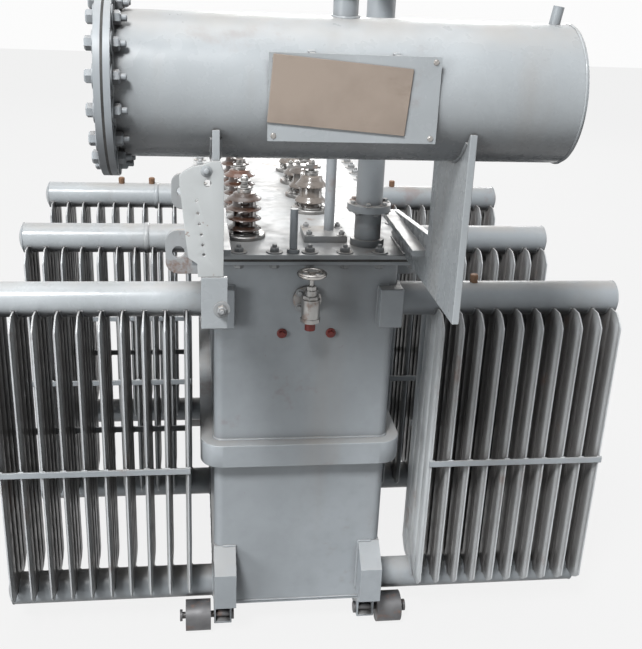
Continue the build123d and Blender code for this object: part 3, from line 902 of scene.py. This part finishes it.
def shed_profile(r, shed_r, height, sheds, z0):
    """A turned insulator outline that rises from its foot; the sheds droop a little."""
    step = height / sheds
    points = [(0, z0), (r * 1.12, z0), (r * 1.12, z0 + 0.10 * step), (r, z0 + 0.2 * step)]
    for i in range(sheds):
        z = z0 + i * step
        points += [
            (r, z + 0.34 * step),
            (r + 0.35 * (shed_r - r), z + 0.36 * step),
            (shed_r - 0.0015, z + 0.30 * step),
            (shed_r - 0.0003, z + 0.33 * step),
            (shed_r - 0.0010, z + 0.38 * step),
            (r + 0.45 * (shed_r - r), z + 0.56 * step),
            (r + 0.08 * (shed_r - r), z + 0.70 * step),
        ]
    top = z0 + height
    points += [(r * 0.98, top - 0.10 * step), (r * 0.86, top - 0.02 * step)]
    points += [(r * 0.5, top), (0, top)]
    return points


def bushing_set(name, spots, r, shed_r, height, sheds, glaze_material):
    """Makes one row's porcelain, and gives back the mesh of its feet and terminals."""
    clay, metalwork = bmesh.new(), bmesh.new()
    for spot in spots:
        base = aim(spot, UP, rng.uniform(0, 1))
        foot = [(0, 0), (FOOT_R, 0), (FOOT_R, 0.007), (FOOT_R - 0.002, 0.009)]
        foot += [(r * 1.35, 0.0095), (r * 1.25, FOOT_T), (0, FOOT_T)]
        lathe(metalwork, foot, base, 40)
        for p in ring_points(base @ Vector((0, 0, 0.009)), UP, FOOT_R - 0.0085, 4, 45):
            bolt(metalwork, p, UP, 0.009, 0.005, 0.003, turn=rng.uniform(0, 1))
        lathe(clay, shed_profile(r, shed_r, height, sheds, FOOT_T), base, 48)
        top = FOOT_T + height
        cap = [(0, -0.002), (r * 0.62, -0.002), (r * 0.62, 0.006), (r * 0.5, 0.009), (0, 0.009)]
        lathe(metalwork, [(across, top + z) for across, z in cap], base, 32)
        stem = [(0, 0.006), (0.0065, 0.006), (0.0065, 0.034), (0.005, 0.036), (0, 0.036)]
        lathe(metalwork, [(across, top + z) for across, z in stem], base, 20)
        for lift in (0.009, 0.024):
            nut = base @ Vector((0, 0, top + lift))
            bolt(metalwork, nut, UP, 0.015, 0.007, turn=rng.uniform(0, 1))
    new_object(name + "_porcelain", clay, glaze_material, smooth_deg=60)
    return metalwork


def bushing_spots(node):
    """The middles of a row's feet on the cover, from the node's box."""
    lo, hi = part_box(node)
    count = BUSHING_COUNT[node]
    x = (lo.x + hi.x) / 2
    y0, y1 = lo.y + FOOT_R, hi.y - FOOT_R
    return [Vector((x, y0 + (y1 - y0) * i / (count - 1), cover_hi.z)) for i in range(count)]


HV_HEIGHT, LV_HEIGHT = 0.085, 0.075
PALM_T = 0.006
PALM = [(-0.020, -0.014), (0.060, -0.014), (0.060, 0.014), (-0.020, 0.014)]
lv_spots = bushing_spots("lv_bushings")
metalwork = bushing_set("hv", bushing_spots("hv_bushings"), 0.024, 0.037, HV_HEIGHT, 4, porcelain)
hv_metal = new_object("hv_metalwork", metalwork, steel_dull)
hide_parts("hv_bushings")
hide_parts("hv_bushings")
metalwork = bushing_set("lv", lv_spots, 0.026, 0.038, LV_HEIGHT, 2, glaze_grey)
for spot in lv_spots:
    # The flat palm that a low-voltage terminal carries, with its two bolts
    place = aim(spot + Vector((0, 0, FOOT_T + LV_HEIGHT + 0.017)), UP)
    low_ring = [metalwork.verts.new(place @ Vector((x, y, 0))) for x, y in PALM]
    high_ring = [metalwork.verts.new(place @ Vector((x, y, PALM_T))) for x, y in PALM]
    metalwork.faces.new(low_ring)
    metalwork.faces.new(high_ring)
    for i in range(4):
        j = (i + 1) % 4
        metalwork.faces.new((low_ring[i], low_ring[j], high_ring[j], high_ring[i]))
    for x in (0.032, 0.050):
        bolt(metalwork, place @ Vector((x, 0, PALM_T)), UP, 0.010, 0.006, 0.003, turn=0.2)
lv_metal = new_object("lv_metalwork", metalwork, steel_dull)
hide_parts("lv_bushings")
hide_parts("lv_bushings")

# Trim on the valve: its bonnet nut, its gland nut and a collar on its lower end
BONNET_NUT = [
    (0.0125, -0.004), (0.0175, -0.004), (0.0175, 0.006), (0.0155, 0.0075), (0.0125, 0.0075),
]
GLAND_NUT = [
    (0.0052, -0.001), (0.0105, -0.001), (0.0105, 0.008), (0.009, 0.0095), (0.0052, 0.0095),
]
END_COLLAR = [(0.0192, -0.001), (0.0215, -0.001), (0.0215, 0.007), (0.0192, 0.007)]
bm = bmesh.new()
for outline, z, turn, sides in (
    (BONNET_NUT, 0.887, 0.2, 6),
    (GLAND_NUT, 0.906, 0.5, 6),
    (END_COLLAR, 0.839, 0.1, 8),
):
    lathe(bm, outline, aim(Vector((mid_x, mid_y - 0.620, z)), UP, turn), sides)
new_object("valve_trim", bm, steel_dull)


# Camera, light and floor

CAMERA_AT = Vector((-0.2563, -2.1876, 1.5299))
CAMERA_YAW, CAMERA_PITCH, CAMERA_ROLL = 8.21, 21.38, 2.56
LENS = 51.37

camera = bpy.data.objects.new("camera", bpy.data.cameras.new("camera"))
camera.data.lens = LENS
camera.data.sensor_width = 36
camera.data.clip_start = 0.05
camera.matrix_world = (
    Matrix.Translation(CAMERA_AT)
    @ Matrix.Rotation(math.radians(-CAMERA_YAW), 4, "Z")
    @ Matrix.Rotation(math.radians(90 - CAMERA_PITCH), 4, "X")
    @ Matrix.Rotation(math.radians(CAMERA_ROLL), 4, "Z")
)
bpy.context.scene.collection.objects.link(camera)
bpy.context.scene.camera = camera


def area_light(name, stand, target, size, power, color):
    light = bpy.data.lights.new(name, "AREA")
    light.shape = "RECTANGLE"
    light.size = light.size_y = size
    light.energy = power
    light.color = color
    obj = bpy.data.objects.new(name, light)
    obj.location = stand
    obj.rotation_euler = (Vector(target) - Vector(stand)).to_track_quat("-Z", "Y").to_euler()
    bpy.context.scene.collection.objects.link(obj)


area_light("key", (-2.6, -5.1, 7.7), (0, 0, 0.8), 2.0, 850, (1.0, 1.0, 1.0))
area_light("side", (-5.6, -4.4, 1.9), (0.2, -0.3, 0.6), 2.4, 165, (0.99, 1.0, 1.0))
area_light("right", (6.5, 1.5, 2.6), (0, 0, 0.7), 3.0, 90, (1.0, 0.98, 0.96))
area_light("back", (1.5, 7.0, 3.4), (0, 0, 0.7), 3.0, 230, (1.0, 0.99, 0.97))
area_light("top", (-0.6, 0.4, 7.4), (0, 0, 0.8), 4.0, 130, (0.97, 0.98, 1.0))


def seen_directly(tree):
    """1 for what the camera sees, also in a mirror or through glass; 0 for bounced light."""
    path = tree.nodes.new("ShaderNodeLightPath")
    total = path.outputs["Is Camera Ray"]
    for kind in ("Is Glossy Ray", "Is Transmission Ray"):
        node = tree.nodes.new("ShaderNodeMath")
        node.operation = "MAXIMUM"
        tree.links.new(total, node.inputs[0])
        tree.links.new(path.outputs[kind], node.inputs[1])
        total = node.outputs[0]
    return total


FLOOR_HALF = 14.0
FLOOR_GLOW = 0.86  # what share of the floor's look is plain white; the rest takes the shadow


def stage_floor():
    """A plain floor that reads as pale to the camera and still takes the object's shadow."""
    bm = bmesh.new()
    corners = ((-1, -1), (1, -1), (1, 1), (-1, 1))
    bm.faces.new([bm.verts.new((FLOOR_HALF * x, FLOOR_HALF * y, 0)) for x, y in corners])
    mesh = bpy.data.meshes.new("floor")
    bm.to_mesh(mesh)
    bm.free()
    m = Nodes("pale_floor")
    base = m.mix(m.ramp(m.noise(0.8, 3), 0.3, 0.7), (0.19, 0.19, 0.19), (0.21, 0.21, 0.21))
    m.set(Base_Color=base, Roughness=0.85)
    glow = m.tree.nodes.new("ShaderNodeEmission")
    glow.inputs["Color"].default_value = (1, 1, 1, 1)
    share = m.math("MULTIPLY", seen_directly(m.tree), FLOOR_GLOW)
    mix = m.tree.nodes.new("ShaderNodeMixShader")
    m.link(share, mix.inputs[0])
    m.link(m.shader.outputs[0], mix.inputs[1])
    m.link(glow.outputs[0], mix.inputs[2])
    m.link(mix.outputs[0], m.tree.nodes["Material Output"].inputs["Surface"])
    mesh.materials.append(m.material)
    floor = bpy.data.objects.new("floor", mesh)
    bpy.context.scene.collection.objects.link(floor)


def studio_world():
    """White to the camera and in reflections, soft and dimmer as a light."""
    world = bpy.data.worlds.new("studio")
    bpy.context.scene.world = world
    world.use_nodes = True
    tree = world.node_tree
    shown = tree.nodes["Background"]
    shown.inputs["Color"].default_value = (0.97, 0.97, 0.97, 1)
    shown.inputs["Strength"].default_value = 1.0
    lighting = tree.nodes.new("ShaderNodeBackground")
    lighting.inputs["Color"].default_value = (0.93, 0.96, 1.0, 1)
    coords = tree.nodes.new("ShaderNodeTexCoord")
    split = tree.nodes.new("ShaderNodeSeparateXYZ")
    tree.links.new(coords.outputs["Generated"], split.inputs[0])
    climb = tree.nodes.new("ShaderNodeMapRange")
    Nodes.limits(climb, 0.0, 1.0, 0.015, 0.24)
    tree.links.new(split.outputs[2], climb.inputs["Value"])
    tree.links.new(climb.outputs["Result"], lighting.inputs["Strength"])
    mix = tree.nodes.new("ShaderNodeMixShader")
    tree.links.new(seen_directly(tree), mix.inputs[0])
    tree.links.new(lighting.outputs[0], mix.inputs[1])
    tree.links.new(shown.outputs[0], mix.inputs[2])
    tree.links.new(mix.outputs[0], tree.nodes["World Output"].inputs["Surface"])


stage_floor()
studio_world()
bpy.context.scene.view_settings.view_transform = "Standard"
